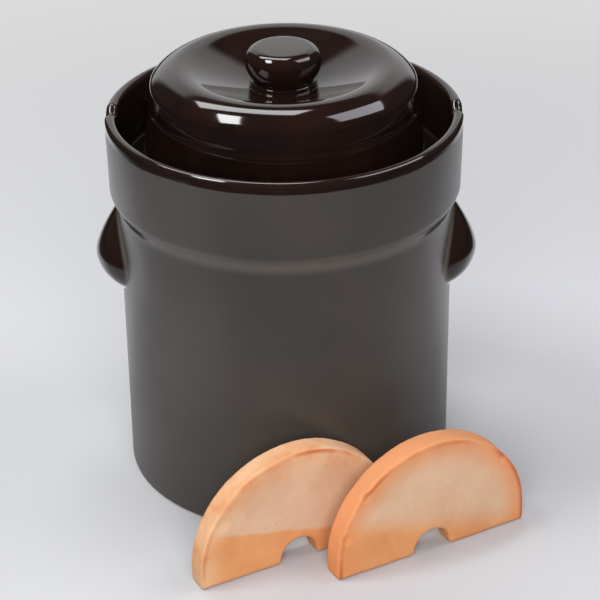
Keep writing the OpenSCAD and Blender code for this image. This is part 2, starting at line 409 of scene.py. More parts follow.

# %% [markdown]
# The band's seam shows in two ways, and both are painted into the colour. Over the S-curve the grey is
# painted paler: a painted highlight that stands for the lit floor mirrored in the curve. Beside each
# handle, where its clay was smoothed up to the band, a crease was left, and it is darkened with painted
# shade. The crease is pressed into the mesh further down, and this mask only paints its shade. Its ends are
# angles round the pot, in degrees from the front or the back.

# %% The crease's painted shade
CREASE_Z = 224.0
CREASE_START, CREASE_END = (49.0, 58.0), (82.0, 75.0)
CREASE_SHADE_BAND = (2.8, 1.3)

# Where the painted shade lies: a band along the crease beside each handle.
def crease_shade_mask(tree, at, height):
    parts = add(tree, "ShaderNodeSeparateXYZ", {0: at})
    aside, ahead = [maths(tree, "ABSOLUTE", parts.outputs[axis]) for axis in (0, 1)]
    around = maths(tree, "DEGREES", maths(tree, "ARCTAN2", aside, ahead))
    beside_lug = times(tree, mask(tree, around, *CREASE_START), mask(tree, around, *CREASE_END))
    off_line = maths(tree, "ABSOLUTE", maths(tree, "SUBTRACT", height, CREASE_Z * MM))
    return times(tree, beside_lug, mask_mm(tree, off_line, *CREASE_SHADE_BAND))


print("the crease runs from", CREASE_START[0], "to", CREASE_END[0], "degrees")

# %% [markdown]
# A glaze takes its colour from how thick it lies and from what melts into it, so the coat is built in
# layers: a grey that drifts in clouds, then dark specks, a painted highlight over the seam and painted
# shade in the crease. The mask from above chooses between this grey and the dipped brown. Each layer is
# one blend, so that it can be changed by itself.

# %% The pot's colours
SATIN_WARM, SATIN_COOL, SATIN_SPECK = srgb(74, 68, 64), srgb(66, 63, 60), srgb(40, 32, 28)
# The darkest brown here is painted shade for the crease beside each handle.
# The pale seam colour here is a painted highlight, not a colour of the glaze.
SEAM_PAINTED_HIGHLIGHT, CREASE_PAINTED_SHADE, BARE_CLAY = srgb(110, 104, 98), srgb(22, 16, 13), srgb(150, 112, 84)
DIPPED_THIN, DIPPED_THICK = srgb(34, 22, 18), srgb(24, 15, 12)
SEAM_HIGHLIGHT_FROM, SEAM_HIGHLIGHT_TO, SEAM_HIGHLIGHT_AMOUNT = (217.0, 227.0), (237.0, 230.0), 0.52
SATIN_SPECKS, SATIN_SPECK_AMOUNT = (420.0, 0.05), 0.35

def pot_colour(tree, at, height, wavering, satin, cloud):
    grey = blend_colours(tree, cloud, SATIN_WARM, SATIN_COOL)
    speck = times(tree, specks(tree, at, *SATIN_SPECKS), SATIN_SPECK_AMOUNT)
    grey = blend_colours(tree, speck, grey, SATIN_SPECK)
    # Painted highlight: a pale stripe over the S-curve, standing for the lit floor mirrored there.
    seam_highlight = times(tree, mask_mm(tree, wavering, *SEAM_HIGHLIGHT_FROM), mask_mm(tree, wavering, *SEAM_HIGHLIGHT_TO))
    grey = blend_colours(tree, times(tree, seam_highlight, SEAM_HIGHLIGHT_AMOUNT), grey, SEAM_PAINTED_HIGHLIGHT)
    # Painted shade: the crease beside each handle is darkened to a near-black brown.
    grey = blend_colours(tree, crease_shade_mask(tree, at, height), grey, CREASE_PAINTED_SHADE)
    brown = blend_colours(tree, cloud, DIPPED_THIN, DIPPED_THICK)
    return blend_colours(tree, satin, brown, grey)


# The palest place is the painted highlight over the S-curve.
print("the satin coat is palest near", SEAM_HIGHLIGHT_FROM[1], "mm up")

# %% [markdown]
# A satin coat is rougher than the dipped gloss and has a fine tooth. The gloss keeps next to none of it, as
# even a slight bump shows in a mirror. The ring that the pot stands on was wiped bare before firing.

# %% The pot's glaze
POT_CLOUD, WAVER_SCALE, TOOTH_SCALE = 9.0, 14.0, 260.0
SATIN_ROUGH, GLOSS_ROUGH, BARE_ROUGH = (0.06, 0.32), (0.05, 0.06), 0.85
SATIN_TOOTH, TOOTH_HEIGHT = (0.11, 0.01), 0.4
BARE_FOOT = (1.6, 0.8)

def make_pot_glaze():
    material, tree, skin = new_material("satin and gloss pot glaze")
    at, radius, height = radius_and_height(tree)
    waver = noise_value(tree, at, WAVER_SCALE, 2.0)
    wavering = maths(tree, "MULTIPLY_ADD", waver, WAVER * MM, height)
    satin = satin_mask(tree, radius, height, wavering)
    cloud = clouds(tree, at, POT_CLOUD)
    bare = mask_mm(tree, height, *BARE_FOOT)
    coat = pot_colour(tree, at, height, wavering, satin, cloud)
    tree.links.new(blend_colours(tree, bare, coat, BARE_CLAY), skin.inputs["Base Color"])
    fine = noise_value(tree, at, TOOTH_SCALE, 3.0)
    satin_rough = maths(tree, "MULTIPLY_ADD", cloud, *SATIN_ROUGH)
    gloss_rough = maths(tree, "MULTIPLY_ADD", fine, *GLOSS_ROUGH)
    rough = blend_values(tree, satin, gloss_rough, satin_rough)
    tree.links.new(blend_values(tree, bare, rough, BARE_ROUGH), skin.inputs["Roughness"])
    tooth = maths(tree, "MULTIPLY_ADD", satin, *SATIN_TOOTH)
    bump = add(tree, "ShaderNodeBump", {"Height": fine, "Strength": tooth, "Distance": TOOTH_HEIGHT * MM})
    tree.links.new(bump.outputs[0], skin.inputs["Normal"])
    return material


POT_GLAZE = make_pot_glaze()
print(POT_GLAZE.name, "has", len(POT_GLAZE.node_tree.nodes), "nodes")

# %% [markdown]
# The two overflow notches are pressed into the soft lip with a thumb: the lip sinks in a round dip and the
# wall below it takes up the squeeze. The creases beside the handles are pressed in with a tool. Moving the
# spun vertices does the same here, and leaves the section itself plain.

# %% Spinning the pot and pressing it
PRESSED_R = 122.5
NOTCH_HALF, NOTCH_DEPTH, NOTCH_FADE = 11.0, 5.5, (16.0, 3.0)
CREASE_DEPTH, CREASE_EDGE = 1.6, (3.2, 0.6)

def crease_depth(co):
    around = math.degrees(math.atan2(abs(co.x), abs(co.y)))
    press = smooth_step(*CREASE_START, around) * smooth_step(*CREASE_END, around)
    return CREASE_DEPTH * press * smooth_step(*CREASE_EDGE, abs(co.z / MM - CREASE_Z))


pot_bm = spin_profile(pot_pen)
fade_low, fade_high = [RIM_TOP - fade for fade in NOTCH_FADE]
for v in pot_bm.verts:
    r = math.hypot(v.co.x, v.co.y) / MM
    if r > PRESSED_R:
        dip = dip_at(v.co.y / MM, NOTCH_HALF, NOTCH_DEPTH)
        v.co.z -= dip * MM * smooth_step(fade_low, fade_high, v.co.z / MM)
        v.co.xy *= 1 - crease_depth(v.co) / r
make_piece(pot_bm, "glazed_pot", POT_GLAZE, "crock", ["crock_body", "gutter_collar"])

# %% [markdown]
# ## Glossy brown glaze
# The lid, its knob and the handles carry the glossy dark brown alone. On a ripe glaze like this the
# surface is as smooth as glass but never quite flat: it swells and dips over a centimetre or so, which is
# what bends the edges of the lights in it. On the lid the coat is thin in places, and redder there. At a
# handle's root the wall's grey runs over the brown, so that glaze is told how far from the pot's axis the
# grey ends.

# %% The gloss glaze
GLOSS_CLOUD, GLOSS_SPECKS, GLOSS_SPECK_AMOUNT = 16.0, (300.0, 0.03), 0.3
GLOSS_FINE, GLOSS_FINE_ROUGH = 90.0, (0.05, 0.05)
SWELL_SCALE, SWELL_STRENGTH, SWELL_HEIGHT = 38.0, 0.10, 0.6
RUST_SPECK, ROOT_GREY = srgb(70, 42, 30), srgb(84, 77, 71)
ROOT_REACH, ROOT_SOFT = BODY_R + 3.3, 2.6

def make_gloss_glaze(name, thick, thin, root=0.0):
    material, tree, skin = new_material(name)
    at, radius, _ = radius_and_height(tree)
    coat = blend_colours(tree, clouds(tree, at, GLOSS_CLOUD), thick, thin)
    speck = times(tree, specks(tree, at, *GLOSS_SPECKS), GLOSS_SPECK_AMOUNT)
    coat = blend_colours(tree, speck, coat, RUST_SPECK)
    if root:
        coat = blend_colours(tree, mask_mm(tree, radius, root, root - ROOT_SOFT), coat, ROOT_GREY)
    tree.links.new(coat, skin.inputs["Base Color"])
    fine = noise_value(tree, at, GLOSS_FINE, 2.0)
    tree.links.new(maths(tree, "MULTIPLY_ADD", fine, *GLOSS_FINE_ROUGH), skin.inputs["Roughness"])
    slow = noise_value(tree, at, SWELL_SCALE, 1.0)
    bump = add(tree, "ShaderNodeBump",
               {"Height": slow, "Strength": SWELL_STRENGTH, "Distance": SWELL_HEIGHT * MM})
    tree.links.new(bump.outputs[0], skin.inputs["Normal"])
    return material


LID_GLAZE = make_gloss_glaze("gloss lid glaze", srgb(20, 12, 9), srgb(32, 18, 13))
HANDLE_GLAZE = make_gloss_glaze("gloss handle glaze", srgb(38, 23, 17), srgb(31, 19, 14), ROOT_REACH)
print("gloss glazes:", LID_GLAZE.name, "and", HANDLE_GLAZE.name)

# %% [markdown]
# ## The lid
# The skirt stands in the gutter's water and flares a little towards its foot, where two small arches let
# gas bubble out. Above a slight step the crown rises to a tight shoulder, rolls over a much wider crest and
# sinks into a shallow dish. Dish, crest and shoulder are one chain of bends, outside and in, so the crown's
# wall is equally thick all along it. Each row of the crest is a radius, a turn in degrees, and the steps
# outside and inside. The dish starts at the slope that lets the shoulder end upright.

# %% The lid's outside
LID_WALL = 6.5
DISH_FLAT_R, DISH_FLOOR_Z, DISH_R, DISH_TURN = 20.0, 309.74, 361.0, 7.917
CREST = ((30.0, 19.5, 12, 8), (14.0, 17.0, 8, 6), (30.0, 33.0, 16, 10), (9.0, 42.0, 10, 6))
DISH_SLOPE = sum(turn for _, turn, _, _ in CREST) - 90 - DISH_TURN
STEP_TOP, STEP_FACE, STEP_FOOT = (99.4, 296.5), (99.75, 296.0), (99.95, 295.2)
SKIRT_R, SKIRT_ROUND = 106.5, 2.0
LID_FOOT_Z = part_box("lid")[0].z / MM

def draw_lid_outside(pen):
    pen.line(DISH_FLAT_R, DISH_FLOOR_Z, 4).face(DISH_SLOPE).bend(DISH_R, DISH_TURN, 18)
    for radius, turn, steps, _ in CREST:
        pen.bend(radius, -turn, steps)
    shoulder = pen.place()
    pen.line(*STEP_TOP, 4).line(*STEP_FACE).line(*STEP_FOOT)
    pen.line(SKIRT_R, LID_FOOT_Z + SKIRT_ROUND, 10)
    pen.arc(SKIRT_R - SKIRT_ROUND, LID_FOOT_Z + SKIRT_ROUND, -90, 6)
    return shoulder


lid_pen = ProfilePen(0, DISH_FLOOR_Z)
crown_r, crown_z = draw_lid_outside(lid_pen)
print("the lid's shoulder ends at radius", round(crown_r, 2), "and height", round(crown_z, 2))

# %% [markdown]
# The inside follows the outside at the wall's distance. Its bends are the same ones in reverse order,
# with the wall taken off each radius, or added to it where the dish curves the other way. A potter would
# cut the gas arches into the soft foot with a wire loop. Here the foot's vertices are lifted, much as the
# notches were pressed into the lip.

# %% The lid's inside and its gas arches
INNER_STEP_FOOT, INNER_STEP_TOP = (94.2, 289.3), (93.3, 295.8)
DISH_UNDER_Z = 303.42
SKIRT_IN_R, ARCH_HALF, ARCH_HEIGHT, ARCH_FADE = 90.0, 7.5, 6.0, (262.0, 249.5)

def draw_lid_inside(pen):
    inner_foot = SKIRT_R - LID_WALL + SKIRT_ROUND
    pen.line(inner_foot, LID_FOOT_Z).arc(inner_foot, LID_FOOT_Z + SKIRT_ROUND, -90, 6)
    pen.line(*INNER_STEP_FOOT, 10).line(*INNER_STEP_TOP).line(crown_r - LID_WALL, crown_z, 3).face(90)
    for radius, turn, _, steps in reversed(CREST):
        pen.bend(radius - LID_WALL, turn, steps)
    pen.bend(DISH_R + LID_WALL, -DISH_TURN, 12).line(0, DISH_UNDER_Z, 4)


draw_lid_inside(lid_pen)
lid_bm = spin_profile(lid_pen)
for v in lid_bm.verts:
    if math.hypot(v.co.x, v.co.y) > SKIRT_IN_R * MM:
        lift = dip_at(v.co.y / MM, ARCH_HALF, ARCH_HEIGHT)
        v.co.z += lift * MM * smooth_step(*ARCH_FADE, v.co.z / MM)
make_piece(lid_bm, "dished_lid", LID_GLAZE, "lid", ["lid"])

# %% [markdown]
# ## The knob
# The knob was thrown on its own and stuck on: a bowl with a slightly domed top, standing on a bead of clay
# that was smoothed round its foot. The bead meets the dish in a small fillet where the glaze has pooled.
# Heights are counted from the knob's seat. The bowl's radius follows from how far it swells on its way up
# from waist to belly, so the two always meet.

# %% The knob's section
KNOB_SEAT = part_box("lid_knob")[0].z / MM
FILLET = ((25.6, 0.0), (24.9, 0.4), (24.5, 1.1))
BEAD_R, BEAD_ROUND = 24.5, 2.1
WAIST_R, WAIST_UP = 22.0, 4.3
KNOB_R, BELLY_UP, KNOB_EDGE, EDGE_TURN = 28.2, 19.3, 9.8, 89.0
DOME_R, DOME_UP, KNOB_UP = 9.0, 29.25, 29.3

def draw_knob():
    pen = ProfilePen(0, KNOB_SEAT)
    for (r, up), steps in zip(FILLET, (4, 1, 1)):
        pen.line(r, KNOB_SEAT + up, steps)
    pen.line(BEAD_R, KNOB_SEAT + BEAD_ROUND).arc(BEAD_R - BEAD_ROUND, KNOB_SEAT + BEAD_ROUND, 90, 8)
    pen.line(WAIST_R, KNOB_SEAT + WAIST_UP)
    swell, rise = KNOB_R - WAIST_R, BELLY_UP - WAIST_UP
    bowl_r = (swell ** 2 + rise ** 2) / 2 / swell
    pen.arc(KNOB_R - bowl_r, KNOB_SEAT + BELLY_UP, math.degrees(math.asin(rise / bowl_r)), 16)
    pen.arc(KNOB_R - KNOB_EDGE, KNOB_SEAT + BELLY_UP, EDGE_TURN, 16)
    pen.line(DOME_R, KNOB_SEAT + DOME_UP, 3).line(0, KNOB_SEAT + KNOB_UP, 3)
    return pen


knob_bm = spin_profile(draw_knob(), close=6, wide=60)
make_piece(knob_bm, "lid_knob_thrown", LID_GLAZE, "lid", ["lid_knob"])

# %% [markdown]
# ## The lug handles
# Each handle is a lug of clay pressed on the wall and smoothed in with a wet thumb: a swelling slope above,
# a round nose, a curved underside with a hollow for the fingertips, and a small fillet all round where it
# meets the wall. It is built as level rings, each spun about the lug's own axis, then bridged one to the
# next.

# %% The lug's rings
LUG_X, LUG_Z = 97.53, 179.0
LUG_UP, LUG_DOWN, LUG_PROUD, LUG_SWELL = 39.0, 26.0, 19.7, 1.4
LUG_ROOT_R = BODY_R - LUG_X
LUG_LOWER_R = (LUG_PROUD ** 2 + LUG_DOWN ** 2) / 2 / LUG_PROUD
FILLET_GAP = 1.6

def lug_radius(up):
    """Distance of the lug's face from its own axis, at a height above its widest line."""
    if up <= 0:
        return LUG_ROOT_R + LUG_PROUD - LUG_LOWER_R + math.sqrt(LUG_LOWER_R ** 2 - up ** 2)
    return LUG_ROOT_R + LUG_PROUD * (1 - (up / LUG_UP) ** LUG_SWELL)


def spin_lug_ring(bm, up, steps):
    """One level ring, from where it leaves the wall on one side to the other side."""
    rho, near = lug_radius(up), BODY_R + FILLET_GAP
    x = (near ** 2 + LUG_X ** 2 - rho ** 2) / (2 * LUG_X)
    half = math.atan2(math.sqrt(near ** 2 - x ** 2), x - LUG_X)
    corner = Vector((LUG_X + rho * math.cos(half), -rho * math.sin(half), LUG_Z + up))
    before = set(bm.edges)
    bmesh.ops.spin(bm, geom=[bm.verts.new(corner * MM)], cent=(LUG_X * MM, 0, 0), axis=(0, 0, 1),
                   angle=2 * half, steps=steps)
    return [e for e in bm.edges if e not in before]


print("a lug stands", LUG_PROUD, "mm off the wall")

# %% [markdown]
# The fillet is the lug's open edge, extruded in four small steps that lie lower and lower on the wall, each
# a distance outwards and a gap to the wall. The hollow is pressed in last, by lifting the underside to the
# roof of a round-ended groove, and it eases out at its ends as a fingertip would leave it.

# %% The lug's fillet and hollow
LUG_MIDDLE = LUG_Z + 5
SCOOP_R, SCOOP_OUT, SCOOP_HALF, SCOOP_Z = 8.0, 4.0, 14.0, LUG_Z - 24
SCOOP_EASE = 0.75 * SCOOP_R ** 2

def lay_on_wall(verts, outward, gap):
    """Moves vertices over the wall, away from the lug's middle, and sets how far they stand off it."""
    stand = (BODY_R + gap) * MM
    for v in verts:
        turn, z = math.atan2(v.co.y, v.co.x), v.co.z
        way = Vector((turn * BODY_R, z / MM - LUG_MIDDLE)).normalized() * outward
        turn += way.x / BODY_R
        v.co = (stand * math.cos(turn), stand * math.sin(turn), z + way.y * MM)


def press_scoop(verts):
    for v in verts:
        across = v.co.x / MM - (BODY_R + SCOOP_OUT)
        along = max(0.0, abs(v.co.y) / MM - SCOOP_HALF)
        room = SCOOP_R ** 2 - across ** 2 - along ** 2
        if room > 0:
            lift = max(0.0, (SCOOP_Z + math.sqrt(room)) * MM - v.co.z)
            v.co.z += lift * smooth_step(0, SCOOP_EASE, room)


print("the hollow's roof is at height", SCOOP_Z + SCOOP_R)

# %% [markdown]
# The rings are bridged pair by pair into the lug's skin. They lie closer together towards the top and the
# bottom, where the skin runs into the wall. A copy of the skin, sunk a little into the wall, closes the
# lug behind, so that it is a solid like the real one and not a shell with an open back.

# %% Bridging the rings
RING_LOW, RING_HIGH = -25.2, 34.9
FILLET_STEPS = ((0.5, 0.9), (0.9, 0.35), (1.3, -0.1), (1.4, -0.5))
ROOT_DEPTH = 3.0

def only(kind, geom):
    return [g for g in geom if isinstance(g, kind)]


def build_lug(rings=44, steps=44):
    bm = bmesh.new()
    shares = [0.5 - 0.5 * math.cos(math.pi * i / (rings - 1)) for i in range(rings)]
    chains = [spin_lug_ring(bm, RING_LOW + (RING_HIGH - RING_LOW) * share, steps) for share in shares]
    for a, b in zip(chains, chains[1:]):
        bmesh.ops.bridge_loops(bm, edges=a + b)
    edge = [e for e in bm.edges if e.is_boundary]
    for outward, gap in FILLET_STEPS:
        out = bmesh.ops.extrude_edge_only(bm, edges=edge)["geom"]
        lay_on_wall(only(bmesh.types.BMVert, out), outward, gap)
        edge = [e for e in only(bmesh.types.BMEdge, out) if e.is_boundary]
    front = bm.verts[:]
    back = bmesh.ops.duplicate(bm, geom=bm.verts[:] + bm.edges[:] + bm.faces[:])["geom"]
    out = bmesh.ops.extrude_edge_only(bm, edges=edge)["geom"]
    sunk = only(bmesh.types.BMVert, back) + only(bmesh.types.BMVert, out)
    for v in sunk:
        v.co.xy *= (BODY_R - ROOT_DEPTH) * MM / math.hypot(v.co.x, v.co.y)
    press_scoop(front)
    bmesh.ops.remove_doubles(bm, verts=sunk, dist=WELD * MM)
    bmesh.ops.recalc_face_normals(bm, faces=bm.faces[:])
    return bm


print("a fillet of", len(FILLET_STEPS), "steps joins each lug to the wall")

# %% [markdown]
# The pot has the same handle left and right, so the left lug is built like the right one and mirrored in
# its mesh. Mirroring turns the faces inside out, so the normals are recalculated after it. A Mirror
# modifier would do as well, but each lug is a piece of its own here.

# %% Both handles
right_bm = build_lug()
make_piece(right_bm, "right_lug", HANDLE_GLAZE, "crock", ["right_handle"])
left_bm = build_lug()
bmesh.ops.scale(left_bm, vec=(-1, 1, 1), verts=left_bm.verts[:])
bmesh.ops.recalc_face_normals(left_bm, faces=left_bm.faces[:])
make_piece(left_bm, "left_lug", HANDLE_GLAZE, "crock", ["left_handle"])

# %% [markdown]
# ## Fired clay
# The stones are bare clay, so their colour is the kiln's work. Where the flame licked the rim and the lower
# edge it flashed them orange, and the sheltered middle stayed a pale pinkish beige. The two stones lay in
# different places in the kiln, so each has its own rim colour and its own depth of orange. The masks follow
# a stone's own half-moon, so a Mapping node first brings the stone to its own middle.

# %% Where the flame reached
STONE_YAW = math.radians(28.5)
STONE_R, STONE_SIDE = 80.5, 12.5
RIM_FLASH = (STONE_R - 16, STONE_R + 8)
LICK_REACH, FOOT_SLANT, FOOT_WAVER, FOOT_LIFT = 16.0, 0.25, 6.0, 3.0
SCORCH_IN, SCORCH_OUT = (STONE_R - 5, STONE_R - 2), (STONE_R - 0.4, STONE_R - 1.2)
SCORCH_LICK = (0.38, 0.62)

def flame_masks(tree, own, lick, soak):
    """Masks of the flashed rim, the soaked foot and the scorched line just inside the rim."""
    parts = add(tree, "ShaderNodeSeparateXYZ", {0: own}).outputs
    up = maths(tree, "MAXIMUM", maths(tree, "SUBTRACT", parts[2], STONE_SIDE * MM), 0.0)
    spoke = add(tree, "ShaderNodeCombineXYZ", {0: parts[0], 1: up}).outputs[0]
    reach = add(tree, "ShaderNodeVectorMath", {0: spoke}, operation="LENGTH").outputs["Value"]
    licked = maths(tree, "MULTIPLY_ADD", lick, LICK_REACH * MM, reach)
    slant = maths(tree, "MULTIPLY_ADD", parts[0], FOOT_SLANT, parts[2])
    slant = maths(tree, "MULTIPLY_ADD", lick, FOOT_WAVER * MM, slant)
    height, softness = soak
    foot = mask_mm(tree, slant, height + softness + FOOT_LIFT, height + FOOT_LIFT)
    line = times(tree, mask_mm(tree, reach, *SCORCH_IN), mask_mm(tree, reach, *SCORCH_OUT))
    return mask_mm(tree, licked, *RIM_FLASH), foot, times(tree, line, mask(tree, lick, *SCORCH_LICK))


print("the flash starts at least", STONE_R - RIM_FLASH[0], "mm inside a stone's rim")

# %% [markdown]
# Bare clay has no coat, so it is rough, hardly shiny and a little grainy. The colours are laid over one
# another: the pale body, the orange foot, the flashed rim, the scorched line and the specks. The seed
# moves every noise, so that the two stones don't look stamped from one mould.

# %% The clay's finish
PALE, PALE_DEEP = srgb(228, 190, 158), srgb(220, 176, 142)
ORANGE, ORANGE_DEEP = srgb(234, 166, 110), srgb(224, 150, 98)
SCORCHED, CLAY_SPECK = srgb(196, 104, 62), srgb(176, 104, 70)
RIM_AMOUNT, SCORCH_AMOUNT, CLAY_SPECK_AMOUNT = 0.85, 0.8, 0.35
LICK_SCALE, CLAY_CLOUD, CLAY_SPECKS, GRAIN_SCALE = 22.0, 30.0, (260.0, 0.025), 420.0
GRAIN_ROUGH, GRAIN_STRENGTH, GRAIN_HEIGHT, CLAY_SPECULAR = (0.2, 0.68), 0.25, 0.4, 0.25

def clay_colour(tree, own, moved, soak, edge):
    lick = noise_value(tree, moved, LICK_SCALE, 4.0)
    rim, foot, scorch = flame_masks(tree, own, lick, soak)
    cloud = clouds(tree, moved, CLAY_CLOUD)
    orange = blend_colours(tree, cloud, ORANGE, ORANGE_DEEP)
    body = blend_colours(tree, foot, blend_colours(tree, cloud, PALE, PALE_DEEP), orange)
    flashed = blend_colours(tree, cloud, edge, orange)
    body = blend_colours(tree, times(tree, rim, RIM_AMOUNT), body, flashed)
    body = blend_colours(tree, times(tree, scorch, SCORCH_AMOUNT), body, SCORCHED)
    speck = times(tree, specks(tree, moved, *CLAY_SPECKS), CLAY_SPECK_AMOUNT)
    return blend_colours(tree, speck, body, CLAY_SPECK)


def make_clay(name, along, seed, soak, edge):
    """Soak is the orange foot's height at the middle and its softness; edge is the rim's flashed colour."""
    material, tree, skin = new_material(name)
    at = add(tree, "ShaderNodeTexCoord").outputs["Object"]
    own = add(tree, "ShaderNodeMapping", {"Vector": at, "Rotation": (0, 0, -STONE_YAW),
                                          "Location": (-along * MM, 0, 0)}).outputs[0]
    moved = add(tree, "ShaderNodeVectorMath", {0: own, 1: (seed, seed, seed)}, operation="ADD").outputs[0]
    tree.links.new(clay_colour(tree, own, moved, soak, edge), skin.inputs["Base Color"])
    grain = noise_value(tree, moved, GRAIN_SCALE, 4.0)
    tree.links.new(maths(tree, "MULTIPLY_ADD", grain, *GRAIN_ROUGH), skin.inputs["Roughness"])
    skin.inputs["Specular IOR Level"].default_value = CLAY_SPECULAR
    bump = add(tree, "ShaderNodeBump",
               {"Height": grain, "Strength": GRAIN_STRENGTH, "Distance": GRAIN_HEIGHT * MM})
    tree.links.new(bump.outputs[0], skin.inputs["Normal"])
    return material


print("bare clay is never smoother than", GRAIN_ROUGH[1])

# %% [markdown]
# ## The weight stones
# A stone is a slab cut to a half-moon with a finger notch in its straight edge, then wiped round with a wet
# sponge. It starts as an outline drawn with the same pen, filled, extruded to its thickness and bevelled.
# A voxel remesh then gives it an even skin, so that soft waves and a few chips can be pressed into it.

# %% Cutting a stone
STONE_T, STONE_BEVEL = 18.0, 1.9
FINGER_R, FINGER_UP = 15.0, 3.0
SHARP = math.radians(50)

def cut_stone():
    pen = ProfilePen(-FINGER_R, FINGER_UP)
    pen.line(-FINGER_R, 0).line(-STONE_R, 0, 6).line(-STONE_R, STONE_SIDE, 2).arc(0, STONE_SIDE, -180, 72)
    pen.line(STONE_R, 0, 2).line(FINGER_R, 0, 6).line(FINGER_R, FINGER_UP).arc(0, FINGER_UP, 180, 20)
    bm = pen.bm
    bmesh.ops.remove_doubles(bm, verts=bm.verts[:], dist=WELD * MM)
    face = bmesh.ops.contextual_create(bm, geom=bm.edges[:])["faces"]
    out = bmesh.ops.extrude_face_region(bm, geom=face)["geom"]
    bmesh.ops.translate(bm, verts=only(bmesh.types.BMVert, out), vec=(0, -STONE_T * MM, 0))
    bmesh.ops.recalc_face_normals(bm, faces=bm.faces[:])
    sharp = [e for e in bm.edges if e.calc_face_angle(0) > SHARP]
    bmesh.ops.bevel(bm, geom=sharp, offset=STONE_BEVEL * MM, affect="EDGES", segments=3, profile=0.5,
                    material=-1, clamp_overlap=True)
    return bm


def even_skin(bm, voxel):
    """The same solid with small even faces, from a Remesh modifier whose result is kept."""
    draft = bpy.data.objects.new("draft", bpy.data.meshes.new("draft"))
    bm.to_mesh(draft.data)
    bm.free()
    bpy.context.scene.collection.objects.link(draft)
    remesh = draft.modifiers.new("even", "REMESH")
    remesh.mode = "VOXEL"
    remesh.voxel_size = voxel * MM
    fine = bmesh.new()
    fine.from_object(draft, bpy.context.evaluated_depsgraph_get())
    bpy.data.objects.remove(draft)
    return fine


print("a stone is", 2 * STONE_R, "mm long and", STONE_T, "mm thick")

# %% [markdown]
# No slab cut by hand is quite flat, and use chips its edges. Two passes of smoothing stand for the
# sponge, two layers of noise along the normals give the waves, and a chip is a soft dip round a place on
# the edge. A bump in the material would look alike from the front, but the outline would stay too
# straight.

# %% Wear
WAVES = ((26, 0.5, (1, 0, 0)), (7, 0.16, (0, 1, 0)))
CHIP_CORE, SPONGE_PASSES = 0.3, 2

def wave_at(here, seed):
    """Two layers of noise, each with a length, a height and the axis that the seed shifts it along."""
    layers = [noise.noise(here / length + Vector(axis) * seed) * height for length, height, axis in WAVES]
    return sum(layers)


def wear_stone(bm, seed, chips):
    """Sponges the stone smooth, then presses waves and chips in; a chip is a place, a reach and a depth."""
    for _ in range(SPONGE_PASSES):
        bmesh.ops.smooth_vert(bm, verts=bm.verts[:], factor=0.5,
                              use_axis_x=True, use_axis_y=True, use_axis_z=True)
    bm.normal_update()
    for v in bm.verts:
        here = v.co / MM
        wave = wave_at(here, seed)
        for place, reach, depth in chips:
            away = (here - Vector(place)).length
            wave -= depth * (1 - smooth_step(CHIP_CORE * reach, reach, away))
        v.co += v.normal * wave * MM
    for v in bm.verts:
        v.co.z = max(v.co.z, 0.0)


print("the sponge left waves of", [height for _, height, _ in WAVES], "mm")

# %% [markdown]
# Both stones stand on their straight edge, turned by the same angle. A stone is placed by how far it lies
# along that direction and how far out in front of the pot's axis. The seed moves its waves and its clouds.

# %% Standing the stones in their places
STONE_VOXEL = 1.25
LEFT_CHIPS = [((-62, -18, 52), 7, 1.2)]
RIGHT_CHIPS = [((-74, -18, 34), 5, 1.6), ((-58, -18, 66), 6, 1.0), ((60, -17, 62), 5, 1.2)]

def stand_stone(name, node, along, out, seed, soak, edge, chips):
    bm = even_skin(cut_stone(), STONE_VOXEL)
    wear_stone(bm, seed, chips)
    place = Matrix.Rotation(STONE_YAW, 4, "Z") @ Matrix.Translation((along * MM, -out * MM, 0))
    bmesh.ops.transform(bm, matrix=place, verts=bm.verts[:])
    clay = make_clay(name + " clay", along, seed, soak, edge)
    body = node.replace("_weight", "")
    make_piece(bm, name, clay, body, [node])


stand_stone("left_half_moon", "left_weight_stone", along=-70, out=127, seed=3.1,
            soak=(24, 4), edge=srgb(236, 190, 148), chips=LEFT_CHIPS)
stand_stone("right_half_moon", "right_weight_stone", along=21, out=166, seed=8.7,
            soak=(12, 24), edge=srgb(236, 144, 88), chips=RIGHT_CHIPS)

# %% [markdown]
# ## Floor, light and camera
# The photograph is a plain product picture on pale paper. Mirrored rays find the paper unlit far out at the
# sides and in front, but for a patch at the left, as it is in a room. Behind the pot they find it painted
# white, a painted light whose reflection pales the edges of its wall. For the camera the paper fades with
# distance to an even pale grey, so that no horizon shows. From here on, places are in metres, across is to
# the right and depth is away from the camera.

# %% The floor's paper
PAPER = 0.72
PAPER_SEEN, PAPER_LIT = srgb(196, 197, 200), srgb(180, 181, 184)
# The white for mirrored rays is painted light: a bright backdrop painted onto the paper.
PAPER_PAINTED_WHITE, PAPER_UNLIT = srgb(236, 237, 240), srgb(58, 58, 60)
FRONT_DEPTH, BEHIND_DEPTH, SIDE_ACROSS = (0.0, -0.36), (0.02, 0.2), (0.5, 0.75)
LIT_ACROSS, LIT_DEPTH = (-0.16, -0.3), (-0.44, -0.32)

